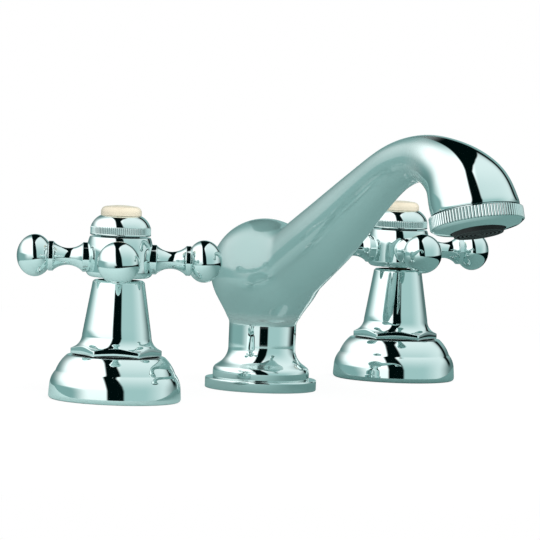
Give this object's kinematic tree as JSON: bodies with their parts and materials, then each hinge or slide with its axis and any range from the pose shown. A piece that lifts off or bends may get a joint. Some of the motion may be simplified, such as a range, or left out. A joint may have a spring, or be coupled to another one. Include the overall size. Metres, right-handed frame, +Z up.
{
  "type": "basin mixer",
  "caption": "Deck-mounted basin mixer: an arched swivel spout between separate hot and cold cross-head valves, with the fixings and link tubes under the deck",
  "frame": {"origin": "on the deck's top face, on the spout's axis, at the foot of the mixer", "axes": "+X from the hot valve to the cold valve, +Y to the back (the front is -Y), +Z up"},
  "size_m": [0.2702, 0.1854, 0.1848],
  "materials": {
    "polished_chrome": "mirror-polished chrome plate on brass",
    "brass": "machined brass, unplated",
    "stainless_steel": "plain stainless steel",
    "black_rubber": "moulded black rubber",
    "valve_ceramic": "lapped ceramic",
    "ivory_index": "glossy ivory, plain",
    "dark_jet": "moulded dark grey plastic"
  },
  "bodies": {
    "base": {"hot_fixed_disc": "valve_ceramic", "hot_seat_seal": "black_rubber", "hot_headwork": "brass", "hot_shroud": "polished_chrome", "hot_escutcheon": "polished_chrome", "hot_valve_body": "brass", "hot_deck_seal": "black_rubber", "hot_deck_washer": "black_rubber", "hot_clamp_washer": "stainless_steel", "hot_backnut": "brass", "hot_link_tube": "polished_chrome", "cold_fixed_disc": "valve_ceramic", "cold_seat_seal": "black_rubber", "cold_headwork": "brass", "cold_shroud": "polished_chrome", "cold_escutcheon": "polished_chrome", "cold_valve_body": "brass", "cold_deck_seal": "black_rubber", "cold_deck_washer": "black_rubber", "cold_clamp_washer": "stainless_steel", "cold_backnut": "brass", "cold_link_tube": "polished_chrome", "spout_flange": "polished_chrome", "spout_shank": "brass", "spout_seals": "black_rubber", "spout_deck_washer": "black_rubber", "spout_clamp_washer": "stainless_steel", "spout_backnut": "brass", "spout_tee": "brass", "union_nuts": "brass", "olives": "brass"},
    "hot_head": {"hot_index": "ivory_index", "hot_index_collar": "polished_chrome", "hot_handle_hub": "polished_chrome", "hot_handle_arms": "polished_chrome", "hot_handle_screw": "stainless_steel", "hot_spindle": "brass", "hot_spindle_seals": "black_rubber", "hot_circlip": "stainless_steel", "hot_moving_disc": "valve_ceramic"},
    "cold_head": {"cold_index": "ivory_index", "cold_index_collar": "polished_chrome", "cold_handle_hub": "polished_chrome", "cold_handle_arms": "polished_chrome", "cold_handle_screw": "stainless_steel", "cold_spindle": "brass", "cold_spindle_seals": "black_rubber", "cold_circlip": "stainless_steel", "cold_moving_disc": "valve_ceramic"},
    "spout": {"spout_body": "polished_chrome", "spout_grub_screw": "stainless_steel", "aerator_ring": "polished_chrome", "aerator_jet": "dark_jet", "aerator_washer": "black_rubber"}
  },
  "joints": [
    {"name": "hot_handle_turn", "type": "hinge", "parent": "base", "child": "hot_head", "pos_m": [-0.1, 0, 0.05], "axis": [0, 0, 1], "range_deg": [0, 90]},
    {"name": "cold_handle_turn", "type": "hinge", "parent": "base", "child": "cold_head", "pos_m": [0.1, 0, 0.05], "axis": [0, 0, 1], "range_deg": [-90, 0]},
    {"name": "spout_swivel", "type": "hinge", "parent": "base", "child": "spout", "pos_m": [0, 0, 0.01], "axis": [0, 0, 1], "range_deg": [-44, 76]}
  ]
}
